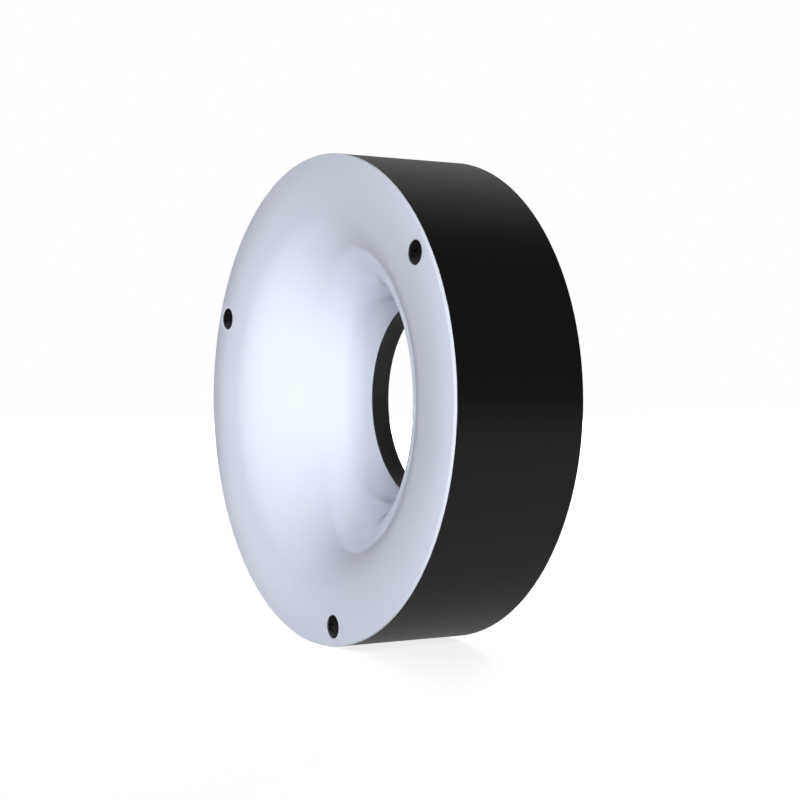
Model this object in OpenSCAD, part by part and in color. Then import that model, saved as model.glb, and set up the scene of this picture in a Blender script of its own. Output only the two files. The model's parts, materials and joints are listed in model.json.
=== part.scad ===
// Ring light for machine vision.
// Every piece is drawn lying on its back: its axis runs along Z, with the mounting face at z = 0
// and the light leaving upwards. upright() then turns the light so that it shines towards -Y,
// with the centre of its mounting face at the origin.

/* [Housing] */
// Outer diameter of the light
outer_d = 100; // [96:1:130]
// Depth from the mounting face to the diffuser's front face
depth = 29.4; // [27:0.1:40]
// Thickness of the housing's round wall
wall_t = 2; // [1.6:0.1:2.6]
// Thickness of the inner ledge that carries the diffuser
ledge_t = 2; // [1.4:0.1:3]
// Radius of each screw lug inside the wall
lug_r = 3.4; // [3:0.1:3.8]
// Small chamfer on turned outer edges
edge_chamfer = 0.3; // [0.1:0.05:0.4]
// Gap between pieces that slip into each other
slip_gap = 0.1; // [0.05:0.01:0.2]

/* [Diffuser] */
// Thickness of the opal plastic
diffuser_t = 1.8; // [1.4:0.1:2.4]
// Width of the flat flange round the bell
flange_w = 6.4; // [6.2:0.1:8]
// Width over which the flange bends into the bell's shallow cone
bend_w = 4.1; // [2:0.1:4.5]
// Slope of the cone in degrees
cone_slope = 4.6; // [2:0.1:7]
// Width of the cone
cone_w = 0.9; // [0.3:0.1:2.5]
// How far the bell's curve pulls inwards from the cone
top_pull = 9.3; // [6:0.1:12]
// How far the bell's curve pulls upwards from the neck
neck_pull = 11.5; // [8:0.1:14]
// Height of the lip that covers the housing's rim
lip_t = 0.7; // [0.5:0.1:1.2]
// Straight length of the neck below the bell's curve
neck_straight = 1.8; // [1:0.1:3]
// How far the neck stands back from the bore
neck_setback = 0.3; // [0.1:0.05:0.6]
// Thickness of the gasket under the flange
gasket_t = 0.5; // [0.3:0.1:1]

/* [Rear plate] */
// Diameter of the bore that the camera looks through
bore_d = 42.5; // [36:0.5:46]
// Thickness of the plate at the bore
plate_t = 4.1; // [3.6:0.1:6]
// Height of the raised land under the board
land_h = 1.9; // [1.4:0.1:3]
// Pitch circle of the threaded mounting holes
mount_pcd = 70; // [60:1:74]
// Number of threaded mounting holes
mount_count = 4; // [3:1:6]
// Core diameter of the M3 mounting threads
mount_core_d = 2.5; // [2:0.1:3.3]
// Depth of the mounting threads
mount_deep = 5; // [4:0.5:5]
// Width of the square-cut seals
seal_w = 1; // [0.8:0.1:1.2]
// Height of the square-cut seals
seal_h = 0.8; // [0.6:0.1:1]

/* [Screws] */
// Distance from the outer edge to the front screws
screw_edge = 4; // [3.8:0.1:4.4]
// Turn of the first screw from the light's right-hand side
screw_turn = 37; // [0:0.5:60]
// Thread diameter of the case screws
screw_d = 2.5; // [2:0.1:2.6]
// Length of the case screws below their heads
screw_l = 8; // [6:0.5:9]
// Head diameter of the raised countersunk front screws
front_head_d = 4.7; // [4.4:0.1:5]
// Rise of the front screws' domes above the flange
front_head_rise = 0.6; // [0.3:0.1:0.9]
// Head diameter of the flush rear screws
flush_head_d = 4.7; // [4.2:0.1:5]
// How much nearer to the axis the rear screws sit
rear_screw_shift = 0.9; // [0.7:0.1:1.2]
// Thread diameter of the board screws
board_screw_d = 2; // [1.6:0.1:2.2]
// Gap round a screw in its thread
thread_gap = 0.05; // [0.02:0.01:0.1]
// Gap round a screw in a clearance hole
pass_gap = 0.2; // [0.1:0.05:0.3]

/* [Board] */
// Thickness of the circuit board
board_t = 1.6; // [1:0.1:2]
// Thickness of the thermal pad
pad_t = 0.4; // [0.2:0.1:1]
// Gap from the board to the neck and to the lugs
board_gap = 0.6; // [0.3:0.1:1.5]
// Distance from one ring of emitters to the next
ring_pitch = 3.6; // [3.2:0.1:4.2]
// Number of emitters in the inner ring
inner_count = 18; // [12:6:18]
// Number of emitters in the middle ring
middle_count = 24; // [12:12:24]
// Number of emitters in the outer ring
outer_count = 30; // [18:6:36]
// Length of an emitter along its ring
led_l = 3.5; // [2.8:0.1:3.8]
// Width of an emitter across its ring
led_w = 2.8; // [2:0.1:2.9]
// Height of an emitter
led_h = 0.8; // [0.6:0.1:1.6]
// Number of current-limiting resistors
resistor_count = 12; // [6:6:12]
// Thickness of the white film on the housing's wall
film_t = 0.35; // [0.2:0.05:0.6]

/* [Power inlet] */
// Height of the inlet's axis above the mounting face
inlet_z = 14.4; // [13.6:0.1:15]
// Thread diameter of the inlet's shell
inlet_d = 8; // [7:0.5:8]
// Width across the flats of the inlet's flange and nut
inlet_af = 11; // [10.5:0.5:11.5]
// Length of the thread outside the flange
inlet_out = 6.5; // [5:0.5:10]
// Wall of the inlet's shell
inlet_wall = 0.95; // [0.8:0.05:1.1]
// Diameter of a contact pin
contact_d = 1; // [0.8:0.1:1.1]
// Direction of the board's connector from the light's right-hand side
header_turn = 205; // [203:1:209]
// Outer diameter of a lead
lead_d = 1.3; // [1:0.1:1.5]

/* [Hidden] */
$fn = 96;

// Cuts run this far past the faces that they open
past = 1;
full_turn = 360;

// Housing
outer_r = outer_d / 2;
wall_r = outer_r - wall_t;
rim_z = depth - lip_t;
flange_z = depth - diffuser_t;
ledge_z = flange_z - gasket_t;
ledge_setback = 0.2;
ledge_r = outer_r - flange_w + ledge_setback;
case_screw_count = 3;
front_screw_r = outer_r - screw_edge;
rear_screw_r = front_screw_r - rear_screw_shift;
lug_shift = 0.5;
lug_ring_r = front_screw_r - lug_shift;
thread_r = screw_d / 2 + thread_gap;
tip_room = 1;
front_thread_deep = screw_l - diffuser_t - gasket_t + tip_room;
rear_thread_deep = screw_l - plate_t + tip_room;
flange_hole_r = screw_d / 2 + pass_gap;

// Bell of the diffuser: a flat flange bends into a shallow cone, and one cubic curve leads from
// the cone down to the straight neck
bore_r = bore_d / 2;
neck_r = bore_r + neck_setback;
bell_r = outer_r - flange_w;
bell_z = plate_t + neck_straight;
cone_way = [-cos(cone_slope), -sin(cone_slope)];
cone_top = [bell_r - bend_w, depth - tan(cone_slope) * bend_w / 2];
curve_top = cone_top + cone_way * cone_w / cos(cone_slope);
curve = [curve_top, curve_top + cone_way * top_pull, [neck_r, bell_z + neck_pull], [neck_r, bell_z]];
bend_steps = 8;
curve_steps = 42;

// Rear plate and seals
plate_r = wall_r - slip_gap;
land_z = plate_t + land_h;
land_shift = board_gap / 2;
seal_gap = 0.1;
seal_ring_r = neck_r + diffuser_t / 2;
rim_seal_z = 1.6;

// Board and what it carries
neck_land_w = 2;
board_in_r = neck_r + diffuser_t + neck_land_w + board_gap;
board_out_r = lug_ring_r - lug_r - board_gap;
board_z = land_z + pad_t;
top_z = board_z + board_t;
middle_ring_r = (board_in_r + board_out_r) / 2;
inner_ring_r = middle_ring_r - ring_pitch;
outer_ring_r = middle_ring_r + ring_pitch;
dish_deep = 0.2;
dish_share = 0.36;
board_screw_count = 3;
board_screw_ring_r = middle_ring_r - ring_pitch / 2;
board_screw_turn = 10;
board_screw_l = 5;
board_tip_room = 0.5;
board_head_d = 3.5;
board_head_h = 1.3;
resistor = [1.6, 3.2, 0.6];
diode = [4.3, 2.6, 2.2];
diode_side = 7;

// Screw heads: the dome's rise, the shank's root and the cross recess, as shares of the head
dome_share = 0.62;
dome_sides = 180;
dome_steps = 8;
front_screw_sides = 48;
root_share = 0.25;
recess_reach = 0.52;
recess_slot = 0.14;
recess_deep = 0.18;
recess_turn = 20;

// Connector on the board's tab: sizes across the tab's length, its width and its height
tab_side = [-4.5, 9.5];
tab_root = 2;
tab_gap = 0.9;
tab_r = wall_r - film_t - slip_gap - tab_gap;
header = [4.5, 6, 5.5];
header_wall = 0.5;
header_floor = 1;
header_edge = 0.7;
header_r = tab_r - header[0] / 2 - header_edge;
header_pitch = 2;
header_pin = 0.5;
pin_corner = header_pin / sqrt(2);
pin_hole_gap = 0.1;
pin_tail = 0.8;
pin_setback = 1;
pin_top = top_z + header[2] - pin_setback;
pin_room = 0.6;
plug_up = 1.1;
plug_gap = 0.05;
plug = [header[0] - 2 * (header_wall + plug_gap), header[1] - 2 * (header_wall + plug_gap),
    header[2] - header_floor - plug_gap + plug_up];
plug_z = top_z + header_floor + plug_gap;
plug_top = plug_z + plug[2];

// Films on the housing's wall
film_foot = 0.6;
film_head = 0.2;
film_turn_gap = 1;
film_pad_gap = 0.5;

// Inlet, measured outwards from the light's axis
spot_deep = 0.6;
spot_x = outer_r - spot_deep;
spot_margin = 1.7;
inlet_pad_t = 1.5;
pad_x = wall_r - inlet_pad_t;
pad_margin = 1.5;
pad_side = inlet_af + 2 * pad_margin;
hex_t = 2.5;
nut_t = 2.5;
shell_r = inlet_d / 2;
socket_r = shell_r - inlet_wall;
shell_past_nut = 1.1;
shell_in_x = pad_x - nut_t - shell_past_nut;
shell_out_x = spot_x + hex_t + inlet_out;
insert_setback = 0.3;
insert_in_x = shell_in_x + insert_setback;
insert_past = 1.6;
insert_out_x = spot_x + insert_past;
contact_setback = 1;
contact_out_x = shell_out_x - contact_setback;
contact_tail = 1.8;
contact_in_x = shell_in_x - contact_tail;
contact_ring_r = 1.6;
contact_gap = 0.02;
contact_count = 3;
inlet_seal_shift = 0.35;
inlet_seal_in_r = shell_r + inlet_seal_shift;
sleeve_t = 0.25;
sleeve_gap = 0.05;
sleeve_l = 3.6;

// Leads, from a contact's tail to the plug
lead_r = lead_d / 2;
lead_gap = 0.03;
lead_straight = 2.2;
lead_sides = 10;
lead_steps = 4;
lead_in_plug = 0.8;

function on_ring(r, turn) = [r * cos(turn), r * sin(turn)];

// Point p moved back by t, square to the way in which the face runs on from it
function behind(p, way, t) = p + t * [-way[1], way[0]] / norm(way);
function curve_at(s) = pow(1 - s, 3) * curve[0] + 3 * pow(1 - s, 2) * s * curve[1]
    + 3 * (1 - s) * s * s * curve[2] + pow(s, 3) * curve[3];
function curve_way(s) = pow(1 - s, 2) * (curve[1] - curve[0])
    + 2 * (1 - s) * s * (curve[2] - curve[1]) + s * s * (curve[3] - curve[2]);
function bend_at(x) = [bell_r - x, depth - tan(cone_slope) * x * x / (2 * bend_w)];
function bend_way(x) = [-1, -tan(cone_slope) * x / bend_w];

// Points of the bell from the flange to the neck, with its wall set back by t from the front face
function bell(t) = concat(
    [for (i = [0:bend_steps]) let(x = bend_w * i / bend_steps) behind(bend_at(x), bend_way(x), t)],
    [for (i = [0:curve_steps]) let(s = i / curve_steps) behind(curve_at(s), curve_way(s), t)]);
function backwards(list) = [for (i = [len(list) - 1:-1:0]) list[i]];

// Contact number k of the inlet, as its height and side offsets from the inlet's axis
function contact_at(k) = on_ring(contact_ring_r, full_turn * k / contact_count);

// Lead's end above the plug, on the side that s names
function plug_entry(s) = let(
    centre = on_ring(header_r, header_turn),
    along = [-sin(header_turn), cos(header_turn)])
    centre + along * s * header_pitch / 2;

// Route of a lead from contact k to the plug's side s, through hand-placed bends. A bend is
// given by how far along it lies and how much it leans inwards, sideways and up.
function lead_route(k, s, bends) = let(
    c = contact_at(k),
    a = [-contact_in_x, c[1], inlet_z + c[0]],
    a2 = a + [lead_straight, 0, 0],
    e = plug_entry(s),
    z = [e[0], e[1], plug_top - lead_in_plug],
    z2 = [e[0], e[1], plug_top + lead_straight])
    concat([a, a2], [for (b = bends) a2 + (z2 - a2) * b[0] + [b[1], b[2], b[3]]], [z2, z]);

red_bends = [[0.1, 2.2, 0.4, 0.8], [0.35, 4.2, 0.6, 1.6], [0.7, 4, -0.6, 2.6], [0.92, 1.8, -1.4, 2.2]];
black_bends = [[0.12, 1.2, 0.2, 0.6], [0.4, 2, 0.4, 1.2], [0.75, 2, 0.4, 1.8], [0.93, 0.9, 0.6, 1.2]];

// Smooth curve through a route's points, with its two ends kept straight
function spline(p, q, r, s, t) = 0.5 * ((2 * q) + (r - p) * t + (2 * p - 5 * q + 4 * r - s) * t * t
    + (3 * q - p - 3 * r + s) * t * t * t);
function smooth(route) = let(last = len(route) - 1) concat(
    [route[0]],
    [for (i = [1:last - 2]) for (j = [0:lead_steps - 1])
        spline(route[i - 1], route[i], route[i + 1], route[i + 2], j / lead_steps)],
    [route[last - 1], route[last]]);

function unit(v) = v / norm(v);
function heading(path, i) = unit(path[min(i + 1, len(path) - 1)] - path[max(i - 1, 0)]);
// Side direction of each ring, carried along so that the tube doesn't twist
function sides(path, i = 0, prev = [0, 1, 0]) = i == len(path) ? [] : let(
    h = heading(path, i),
    n = unit(prev - h * (prev * h)))
    concat([n], sides(path, i + 1, n));

// Tube of radius r along a path
module tube(path, r, edges) {
    n = sides(path);
    rings = len(path);
    points = [for (i = [0:rings - 1]) let(h = heading(path, i), b = cross(h, n[i]))
        for (j = [0:edges - 1])
            path[i] + r * (n[i] * cos(full_turn * j / edges) + b * sin(full_turn * j / edges))];
    walls = [for (i = [0:rings - 2]) for (j = [0:edges - 1]) let(k = (j + 1) % edges)
        [i * edges + j, (i + 1) * edges + j, (i + 1) * edges + k, i * edges + k]];
    caps = [[for (j = [0:edges - 1]) j],
        [for (j = [edges - 1:-1:0]) (rings - 1) * edges + j]];
    polyhedron(points = points, faces = concat(walls, caps), convexity = 6);
}

// Light turned from lying on its back to shining towards -Y
module upright() {
    rotate([90, 0, 0]) children();
}

// Copies at equal turns round the axis
module round_copies(count, r, first = 0) {
    for (k = [0:count - 1])
        rotate(first + full_turn * k / count) translate([r, 0, 0]) children();
}

// Ring of rectangular section
module ring(in_r, out_r, z, h) {
    translate([0, 0, z]) difference() {
        cylinder(r = out_r, h = h);
        translate([0, 0, -past]) cylinder(r = in_r, h = h + 2 * past);
    }
}

// Inlet's own axis: z runs outwards through the wall on the left-hand side
module on_inlet() {
    translate([0, 0, inlet_z]) rotate([0, -90, 0]) children();
}

// Outline of a dome of the given rise, from its rim at height 0 up to its top
function dome(head_d, rise) = let(
    r = (head_d * head_d / 4 + rise * rise) / (2 * rise),
    rim_turn = asin(head_d / 2 / r))
    [for (i = [0:dome_steps]) let(turn = rim_turn * (1 - i / dome_steps))
        [r * sin(turn), rise - r + r * cos(turn)]];

// Cross recess that is cut into a screw head whose top is at z = 0
module cross_recess(head_d) {
    arm = head_d * recess_reach;
    slot = head_d * recess_slot;
    deep = head_d * recess_deep;
    for (turn = [0, 90])
        rotate(turn) translate([-arm / 2, -slot / 2, -deep]) cube([arm, slot, deep + past]);
}

// Domed screw with its shank below z = 0
module pan_screw(d, l, head_d, head_h) {
    rise = head_h * dome_share;
    dome_r = (head_d * head_d / 4 + rise * rise) / (2 * rise);
    difference() {
        union() {
            intersection() {
                cylinder(d = head_d, h = head_h);
                translate([0, 0, head_h - dome_r]) sphere(r = dome_r, $fn = dome_sides);
            }
            translate([0, 0, -l]) cylinder(d = d, h = l + head_h * root_share);
        }
        translate([0, 0, head_h]) cross_recess(head_d);
    }
}

// Raised countersunk screw with the rim of its dome at z = 0 and its shank below it
module raised_screw(d, l, head_d, rise) {
    cone_h = (head_d - d) / 2;
    difference() {
        rotate_extrude($fn = front_screw_sides)
            polygon(concat([[0, -l], [d / 2, -l], [d / 2, -cone_h]], dome(head_d, rise)));
        translate([0, 0, rise]) cross_recess(head_d);
    }
}

// Room for a countersunk head, with its mouth in a face at z = 0 and narrowing upwards
module countersink(head_d) {
    translate([0, 0, -thread_gap])
        cylinder(r1 = head_d / 2 + 2 * thread_gap, r2 = screw_d / 2 + thread_gap,
            h = (head_d - screw_d) / 2 + thread_gap);
}

// Flush screw with its head's face at z = 0 and its shank above it
module flush_screw(d, l, head_d) {
    cone_h = (head_d - d) / 2;
    difference() {
        union() {
            cylinder(d1 = head_d, d2 = d, h = cone_h);
            cylinder(d = d, h = l);
        }
        rotate([180, 0, 0]) cross_recess(head_d);
    }
}

module housing_ring() {
    color([0.05, 0.05, 0.055]) upright() difference() {
        union() {
            rotate_extrude() polygon([
                [wall_r, 0],
                [outer_r - edge_chamfer, 0],
                [outer_r, edge_chamfer],
                [outer_r, rim_z],
                [wall_r, rim_z],
                [wall_r, ledge_z],
                [ledge_r, ledge_z],
                [ledge_r, ledge_z - ledge_t],
                [wall_r, ledge_z - ledge_t]]);
            intersection() {
                translate([0, 0, plate_t]) cylinder(r = wall_r + wall_t / 2, h = ledge_z - plate_t);
                round_copies(case_screw_count, lug_ring_r, screw_turn)
                    cylinder(r = lug_r, h = ledge_z);
            }
            intersection() {
                cylinder(r = wall_r + wall_t / 2, h = depth);
                on_inlet() translate([-pad_side / 2, -pad_side / 2, pad_x])
                    cube([pad_side, pad_side, inlet_pad_t + wall_t]);
            }
        }
        round_copies(case_screw_count, front_screw_r, screw_turn)
            translate([0, 0, ledge_z - front_thread_deep])
                cylinder(r = thread_r, h = front_thread_deep + past);
        round_copies(case_screw_count, rear_screw_r, screw_turn)
            translate([0, 0, plate_t - past]) cylinder(r = thread_r, h = rear_thread_deep + past);
        on_inlet() translate([0, 0, pad_x - past])
            cylinder(r = shell_r + slip_gap, h = inlet_pad_t + wall_t + 2 * past);
        on_inlet() translate([0, 0, spot_x])
            cylinder(r = inlet_af / 2 + spot_margin, h = spot_deep + past);
    }
}

module rear_plate() {
    color([0.06, 0.06, 0.065]) upright() difference() {
        rotate_extrude() polygon([
            [bore_r, 0],
            [plate_r - edge_chamfer, 0],
            [plate_r, edge_chamfer],
            [plate_r, plate_t],
            [board_out_r + land_shift, plate_t],
            [board_out_r + land_shift, land_z],
            [board_in_r - land_shift, land_z],
            [board_in_r - land_shift, plate_t],
            [bore_r, plate_t]]);
        round_copies(mount_count, mount_pcd / 2, full_turn / mount_count / 2)
            translate([0, 0, -past]) cylinder(d = mount_core_d, h = mount_deep + past);
        round_copies(case_screw_count, rear_screw_r, screw_turn) {
            translate([0, 0, -past]) cylinder(r = screw_d / 2 + pass_gap, h = plate_t + 2 * past);
            countersink(flush_head_d);
        }
        round_copies(board_screw_count, board_screw_ring_r, board_screw_turn)
            translate([0, 0, top_z - board_screw_l - board_tip_room])
                cylinder(r = board_screw_d / 2 + thread_gap, h = board_screw_l + past);
        ring(seal_ring_r - seal_w / 2 - seal_gap, seal_ring_r + seal_w / 2 + seal_gap,
            plate_t - seal_h, seal_h + past);
        ring(plate_r - seal_h + slip_gap, plate_r + past, rim_seal_z, seal_w + 2 * seal_gap);
    }
}

module diffuser() {
    color([0.93, 0.94, 0.97]) upright() difference() {
        rotate_extrude() polygon(concat(
            [[outer_r, rim_z], [outer_r, depth - edge_chamfer], [outer_r - edge_chamfer, depth]],
            bell(0),
            [[neck_r, plate_t], [neck_r + diffuser_t, plate_t]],
            backwards(bell(diffuser_t)),
            [[wall_r - slip_gap, flange_z], [wall_r - slip_gap, rim_z]]));
        round_copies(case_screw_count, front_screw_r, screw_turn) {
            translate([0, 0, flange_z - past]) cylinder(r = flange_hole_r, h = diffuser_t + 2 * past);
            translate([0, 0, depth]) rotate([180, 0, 0]) countersink(front_head_d);
        }
    }
}

module diffuser_screws() {
    color([0.04, 0.04, 0.04]) upright() round_copies(case_screw_count, front_screw_r, screw_turn)
        translate([0, 0, depth]) rotate(recess_turn)
            raised_screw(screw_d, screw_l, front_head_d, front_head_rise);
}

module diffuser_gasket() {
    color([0.15, 0.15, 0.15]) upright() difference() {
        ring(ledge_r, wall_r - 2 * slip_gap, ledge_z, gasket_t);
        round_copies(case_screw_count, front_screw_r, screw_turn)
            translate([0, 0, ledge_z - past]) cylinder(r = flange_hole_r, h = gasket_t + 2 * past);
    }
}

module neck_seal() {
    color([0.1, 0.1, 0.1]) upright()
        ring(seal_ring_r - seal_w / 2, seal_ring_r + seal_w / 2, plate_t - seal_h, seal_h);
}

module rear_seal() {
    color([0.1, 0.1, 0.1]) upright()
        ring(plate_r - seal_h + slip_gap, wall_r, rim_seal_z + seal_gap, seal_w);
}

module rear_plate_screws() {
    color([0.1, 0.1, 0.1]) upright() round_copies(case_screw_count, rear_screw_r, screw_turn)
        flush_screw(screw_d, screw_l, flush_head_d);
}

module thermal_pad() {
    color([0.55, 0.62, 0.7]) upright() difference() {
        ring(board_in_r, board_out_r, land_z, pad_t);
        round_copies(board_screw_count, board_screw_ring_r, board_screw_turn)
            translate([0, 0, land_z - past]) cylinder(r = board_screw_d / 2 + pass_gap, h = pad_t + 2 * past);
    }
}

module led_board() {
    color([0.9, 0.92, 0.9]) upright() difference() {
        union() {
            ring(board_in_r, board_out_r, board_z, board_t);
            intersection() {
                rotate(header_turn) translate([board_out_r - tab_root, tab_side[0], board_z])
                    cube([outer_r - board_out_r + tab_root, tab_side[1] - tab_side[0], board_t]);
                translate([0, 0, board_z - past]) cylinder(r = tab_r, h = board_t + 2 * past);
            }
        }
        round_copies(board_screw_count, board_screw_ring_r, board_screw_turn)
            translate([0, 0, board_z - past])
                cylinder(r = board_screw_d / 2 + pass_gap, h = board_t + 2 * past);
        on_header_pins() translate([0, 0, board_z - past])
            cylinder(r = pin_corner + pin_hole_gap, h = board_t + 2 * past);
    }
}

module board_screws() {
    color([0.75, 0.75, 0.75]) upright() round_copies(board_screw_count, board_screw_ring_r, board_screw_turn)
        translate([0, 0, top_z]) pan_screw(board_screw_d, board_screw_l, board_head_d, board_head_h);
}

// One emitter: a white package with a shallow dish for its phosphor
module led() {
    translate([-led_w / 2, -led_l / 2, top_z]) difference() {
        cube([led_w, led_l, led_h]);
        translate([led_w / 2, led_l / 2, led_h - dish_deep]) cylinder(r = led_w * dish_share, h = past);
    }
}

module inner_leds() {
    color([0.95, 0.9, 0.6]) upright() round_copies(inner_count, inner_ring_r) led();
}

module middle_leds() {
    color([0.95, 0.9, 0.6]) upright()
        round_copies(middle_count, middle_ring_r, board_screw_turn - full_turn / middle_count / 2) led();
}

module outer_leds() {
    color([0.95, 0.9, 0.6]) upright() round_copies(outer_count, outer_ring_r) led();
}

// Resistors in every second gap of the middle ring, between the gaps with the board's screws
module resistors() {
    color([0.12, 0.12, 0.14]) upright() for (k = [0:resistor_count - 1])
        rotate(board_screw_turn + (2 * k + 1) * full_turn / middle_count)
            translate([middle_ring_r - resistor[0] / 2, -resistor[1] / 2, top_z]) cube(resistor);
}

module protection_diode() {
    color([0.1, 0.1, 0.11]) upright() rotate(header_turn)
        translate([header_r - diode[0] / 2, diode_side - diode[1] / 2, top_z]) cube(diode);
}

// Places of the connector's two pins on the board's tab
module on_header_pins() {
    rotate(header_turn) for (s = [-1, 1])
        translate([header_r, s * header_pitch / 2, 0]) children();
}

module board_header() {
    color([0.92, 0.9, 0.82]) upright() difference() {
        rotate(header_turn) translate([header_r - header[0] / 2, -header[1] / 2, top_z]) difference() {
            cube(header);
            translate([header_wall, header_wall, header_floor])
                cube([header[0] - 2 * header_wall, header[1] - 2 * header_wall, header[2]]);
        }
        on_header_pins() translate([-header_pin / 2, -header_pin / 2, top_z - past])
            cube([header_pin, header_pin, header_floor + 2 * past]);
    }
}

module header_pins() {
    color([0.8, 0.78, 0.7]) upright() on_header_pins()
        translate([-header_pin / 2, -header_pin / 2, board_z - pin_tail])
            cube([header_pin, header_pin, pin_top - board_z + pin_tail]);
}

module lead_plug() {
    color([0.95, 0.94, 0.88]) upright() difference() {
        rotate(header_turn) translate([header_r - plug[0] / 2, -plug[1] / 2, plug_z]) cube(plug);
        on_header_pins() translate([0, 0, plug_z - past])
            cylinder(r = pin_corner + plug_gap, h = pin_top + pin_room - plug_z + past);
        on_header_pins() translate([0, 0, plug_top - lead_in_plug])
            cylinder(r = lead_r + lead_gap, h = lead_in_plug + past);
    }
}

module red_lead() {
    color([0.7, 0.05, 0.05]) upright() tube(smooth(lead_route(1, 1, red_bends)), lead_r, lead_sides);
}

module black_lead() {
    color([0.05, 0.05, 0.05]) upright() tube(smooth(lead_route(2, -1, black_bends)), lead_r, lead_sides);
}

module joint_sleeves() {
    color([0.08, 0.08, 0.08]) upright() on_inlet() for (k = [1, 2])
        translate([contact_at(k)[0], contact_at(k)[1], 0])
            ring(lead_r + sleeve_gap, lead_r + sleeve_gap + sleeve_t, contact_in_x - sleeve_l / 2, sleeve_l);
}

module wall_films() {
    clear_turn = asin(lug_r / wall_r) + film_turn_gap;
    between = full_turn / case_screw_count;
    color([0.96, 0.96, 0.96]) upright() difference() {
        for (k = [0:case_screw_count - 1])
            rotate(screw_turn + clear_turn + between * k) rotate_extrude(angle = between - 2 * clear_turn)
                translate([wall_r - slip_gap - film_t, top_z + film_foot])
                    square([film_t, ledge_z - ledge_t - film_head - top_z - film_foot]);
        on_inlet() translate([-pad_side / 2 - film_pad_gap, -pad_side / 2 - film_pad_gap, pad_x - past])
            cube([pad_side + 2 * film_pad_gap, pad_side + 2 * film_pad_gap, inlet_pad_t + wall_t]);
    }
}

module inlet_shell() {
    color([0.72, 0.7, 0.66]) upright() on_inlet() difference() {
        union() {
            translate([0, 0, shell_in_x]) cylinder(r = shell_r, h = shell_out_x - shell_in_x);
            translate([0, 0, spot_x]) cylinder(d = inlet_af / cos(30), h = hex_t, $fn = 6);
        }
        translate([0, 0, shell_in_x - past])
            cylinder(r = socket_r, h = shell_out_x - shell_in_x + 2 * past);
        ring(inlet_seal_in_r - seal_gap, inlet_seal_in_r + seal_w + seal_gap,
            spot_x - past, seal_h + past);
    }
}

module inlet_insert() {
    color([0.08, 0.08, 0.08]) upright() on_inlet() difference() {
        translate([0, 0, insert_in_x]) cylinder(r = socket_r, h = insert_out_x - insert_in_x);
        for (k = [0:contact_count - 1])
            translate([contact_at(k)[0], contact_at(k)[1], insert_in_x - past])
                cylinder(r = contact_d / 2 + contact_gap, h = insert_out_x - insert_in_x + 2 * past);
    }
}

module inlet_contacts() {
    color([0.85, 0.7, 0.3]) upright() on_inlet() for (k = [0:contact_count - 1])
        translate([contact_at(k)[0], contact_at(k)[1], contact_in_x])
            cylinder(d = contact_d, h = contact_out_x - contact_in_x);
}

module inlet_seal() {
    color([0.1, 0.1, 0.1]) upright() on_inlet()
        ring(inlet_seal_in_r, inlet_seal_in_r + seal_w, spot_x, seal_h);
}

module inlet_nut() {
    color([0.72, 0.7, 0.66]) upright() on_inlet() translate([0, 0, pad_x - nut_t]) difference() {
        cylinder(d = inlet_af / cos(30), h = nut_t, $fn = 6);
        translate([0, 0, -past]) cylinder(r = shell_r + thread_gap, h = nut_t + 2 * past);
    }
}

housing_ring();
rear_plate();
diffuser();
diffuser_screws();
diffuser_gasket();
neck_seal();
rear_seal();
rear_plate_screws();
thermal_pad();
led_board();
board_screws();
inner_leds();
middle_leds();
outer_leds();
resistors();
protection_diode();
board_header();
header_pins();
lead_plug();
red_lead();
black_lead();
joint_sleeves();
wall_films();
inlet_shell();
inlet_insert();
inlet_contacts();
inlet_seal();
inlet_nut();
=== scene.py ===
# Dressed scene of the machine vision ring light: camera, studio, materials and fine pieces.
# Profiles are in millimetres and are scaled by MM. The studio and the materials are in metres.
# The light shines towards -Y.
import json
import math

import bmesh
import bpy
from mathutils import Matrix, Vector


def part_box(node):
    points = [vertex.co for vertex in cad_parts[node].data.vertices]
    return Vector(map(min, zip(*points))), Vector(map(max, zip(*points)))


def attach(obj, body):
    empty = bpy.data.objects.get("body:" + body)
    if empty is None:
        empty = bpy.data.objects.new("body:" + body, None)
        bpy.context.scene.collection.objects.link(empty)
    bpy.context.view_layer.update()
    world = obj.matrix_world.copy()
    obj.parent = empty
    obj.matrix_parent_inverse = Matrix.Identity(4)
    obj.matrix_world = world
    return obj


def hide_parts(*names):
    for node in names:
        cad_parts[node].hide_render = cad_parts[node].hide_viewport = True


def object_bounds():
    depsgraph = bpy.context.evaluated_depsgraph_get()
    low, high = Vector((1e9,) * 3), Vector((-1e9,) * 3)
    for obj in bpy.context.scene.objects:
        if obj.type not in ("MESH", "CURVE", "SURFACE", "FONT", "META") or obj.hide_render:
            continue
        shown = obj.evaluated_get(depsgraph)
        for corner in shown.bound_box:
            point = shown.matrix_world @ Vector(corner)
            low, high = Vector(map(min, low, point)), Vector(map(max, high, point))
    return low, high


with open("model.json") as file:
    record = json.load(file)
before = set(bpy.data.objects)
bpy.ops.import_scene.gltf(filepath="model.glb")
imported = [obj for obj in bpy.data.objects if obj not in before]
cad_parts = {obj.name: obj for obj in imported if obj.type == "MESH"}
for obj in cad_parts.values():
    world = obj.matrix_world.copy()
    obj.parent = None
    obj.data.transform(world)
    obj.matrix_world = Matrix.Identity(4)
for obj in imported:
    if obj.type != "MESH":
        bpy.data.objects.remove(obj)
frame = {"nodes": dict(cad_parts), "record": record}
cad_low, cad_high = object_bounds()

MM = 0.001
QUARTER = math.radians(90)
NODES = frame["nodes"]
MOUNTS = {mount["name"]: mount for mount in frame["record"]["mounts"]}
BOLTS = MOUNTS["rear_bolts"]["dims"]
BORE = MOUNTS["lens_bore"]["dims"]
INLET = MOUNTS["power_inlet"]["dims"]


def in_mm(metres):
    """Length of the frame in millimetres, without the stray digits of single precision."""
    return round(metres / MM, 3)


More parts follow.
